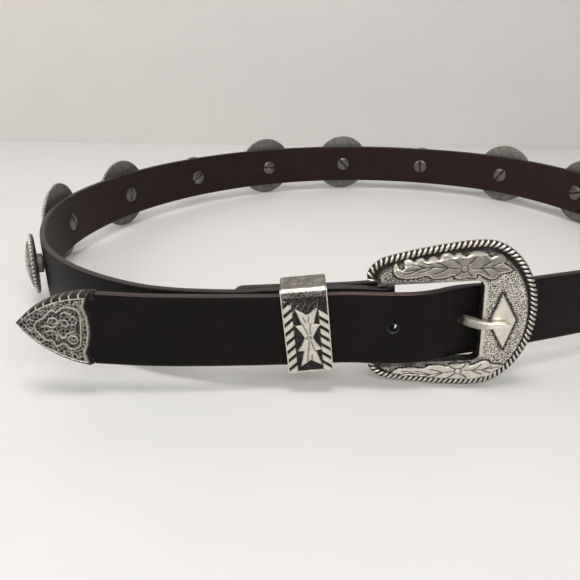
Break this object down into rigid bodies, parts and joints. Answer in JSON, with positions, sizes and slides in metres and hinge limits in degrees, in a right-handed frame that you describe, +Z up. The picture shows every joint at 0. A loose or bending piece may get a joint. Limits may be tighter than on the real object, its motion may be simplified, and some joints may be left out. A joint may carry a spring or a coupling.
{
  "type": "western belt",
  "caption": "Fastened leather western belt with an engraved buckle, a metal keeper and tip, and round conchos, standing on its edge as a closed loop.",
  "frame": {"origin": "under the middle of the fastened loop's box, on the surface that the belt stands on", "axes": "+Z up along the strap's width, +X to the right across the front, -Y towards the side with the buckle"},
  "size_m": [0.3186, 0.2852, 0.0518],
  "materials": {
    "strap_leather": "dark brown-black semi-gloss top grain, plain suede-like inside, dark dyed cut edges",
    "buckle_silver": "cast antique silver, bright on the raised relief and dark in the recesses",
    "concho_silver": "cast antique silver discs with a rope edge, duller on the back",
    "screw_steel": "dull grey steel screw heads with a straight slot"
  },
  "bodies": {
    "root": {"strap": "strap_leather", "buckle_frame": "buckle_silver", "prong": "buckle_silver", "keeper": "buckle_silver", "tip": "buckle_silver", "concho_1": "concho_silver", "concho_2": "concho_silver", "concho_3": "concho_silver", "concho_4": "concho_silver", "concho_5": "concho_silver", "concho_6": "concho_silver", "concho_7": "concho_silver", "concho_8": "concho_silver", "concho_9": "concho_silver", "concho_10": "concho_silver", "screw_1": "screw_steel", "screw_2": "screw_steel", "screw_3": "screw_steel", "screw_4": "screw_steel", "screw_5": "screw_steel", "screw_6": "screw_steel", "screw_7": "screw_steel", "screw_8": "screw_steel", "screw_9": "screw_steel", "screw_10": "screw_steel", "fold_stud_1": "screw_steel", "fold_stud_2": "screw_steel"}
  },
  "joints": []
}
